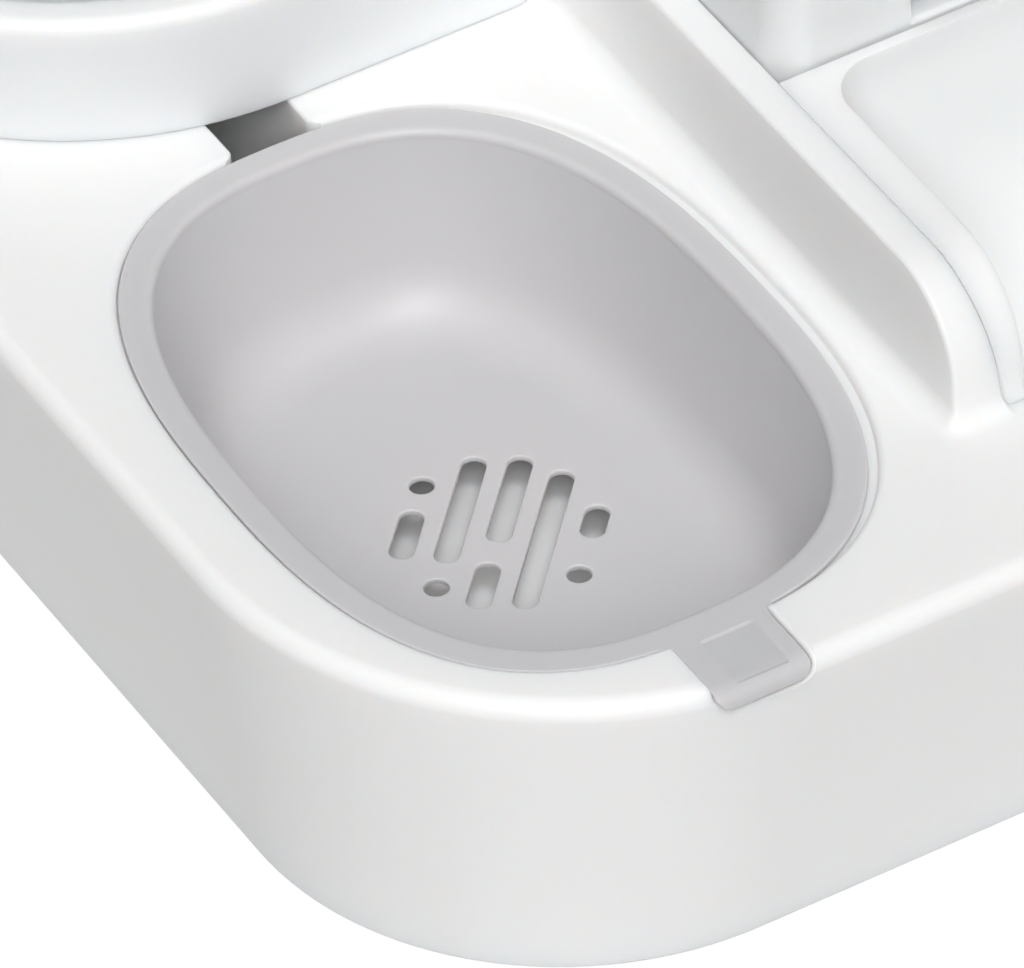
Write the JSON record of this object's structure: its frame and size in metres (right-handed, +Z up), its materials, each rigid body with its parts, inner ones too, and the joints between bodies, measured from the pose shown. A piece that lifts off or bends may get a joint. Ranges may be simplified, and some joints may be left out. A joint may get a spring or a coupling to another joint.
{
  "type": "pet feeder and waterer",
  "caption": "Pet feeder and waterer: one base with a bottle-fed drinking basin and lift-out strainer tray beside a hopper-fed food bowl with a hinged hopper lid.",
  "frame": {"origin": "on the floor under the middle of the base", "axes": "+X to the food side (right seen from the front), +Y to the back, +Z up"},
  "size_m": [0.312, 0.34, 0.3208],
  "materials": {
    "white_plastic": "satin moulded plastic",
    "grey_plastic": "satin moulded plastic, slightly mauve",
    "clear_plastic": "clear, polished",
    "rubber": "matte",
    "silicone": "matte, milky",
    "steel": "bright"
  },
  "bodies": {
    "base": {"base_shell": "white_plastic", "bottom_plate": "white_plastic", "foot_front_left": "rubber", "foot_front_right": "rubber", "foot_back_left": "rubber", "foot_back_right": "rubber", "case_screw_1": "steel", "case_screw_2": "steel", "case_screw_3": "steel", "case_screw_4": "steel", "case_screw_5": "steel", "case_screw_6": "steel"},
    "tray": {"strainer_tray": "grey_plastic"},
    "collar": {"dock_collar": "white_plastic"},
    "bottle": {"water_bottle": "clear_plastic"},
    "cap": {"bottle_cap": "grey_plastic", "cap_gasket": "silicone", "valve_cage": "white_plastic", "valve_spring": "steel"},
    "plunger": {"valve_plunger": "white_plastic", "valve_washer": "silicone"},
    "bowl": {"food_bowl": "white_plastic"},
    "hopper": {"hopper_base": "white_plastic"},
    "tank": {"food_tank": "clear_plastic", "lid_hinge_pin": "steel"},
    "lid": {"hopper_lid": "white_plastic", "lid_seal": "silicone"}
  },
  "joints": [
    {"name": "tray_lift", "type": "slide", "parent": "base", "child": "tray", "axis": [0, 0, 1], "range_m": [0, 0.06]},
    {"name": "collar_lift", "type": "slide", "parent": "base", "child": "collar", "axis": [0, 0, 1], "range_m": [0, 0.04]},
    {"name": "bottle_lift", "type": "slide", "parent": "collar", "child": "bottle", "axis": [0, 0, 1], "range_m": [0, 0.07]},
    {"name": "cap_turn", "type": "hinge", "parent": "bottle", "child": "cap", "pos_m": [-0.08025, 0.09667, 0.06], "axis": [0, 0, 1], "range_deg": [0, 540]},
    {"name": "valve_travel", "type": "slide", "parent": "cap", "child": "plunger", "axis": [0, 0, 1], "range_m": [0, 0.0035], "stiffness_N_per_m": 150, "springref_m": -0.004, "deforming": ["valve_spring"]},
    {"name": "bowl_lift", "type": "slide", "parent": "base", "child": "bowl", "axis": [0, 0, 1], "range_m": [0, 0.08]},
    {"name": "hopper_lift", "type": "slide", "parent": "base", "child": "hopper", "axis": [0, 0, 1], "range_m": [0, 0.04]},
    {"name": "tank_lift", "type": "slide", "parent": "hopper", "child": "tank", "axis": [0, 0, 1], "range_m": [0, 0.02]},
    {"name": "lid_hinge", "type": "hinge", "parent": "tank", "child": "lid", "pos_m": [0.0642, 0.14936, 0.3028], "axis": [-1, 0, 0], "range_deg": [0, 100]}
  ]
}
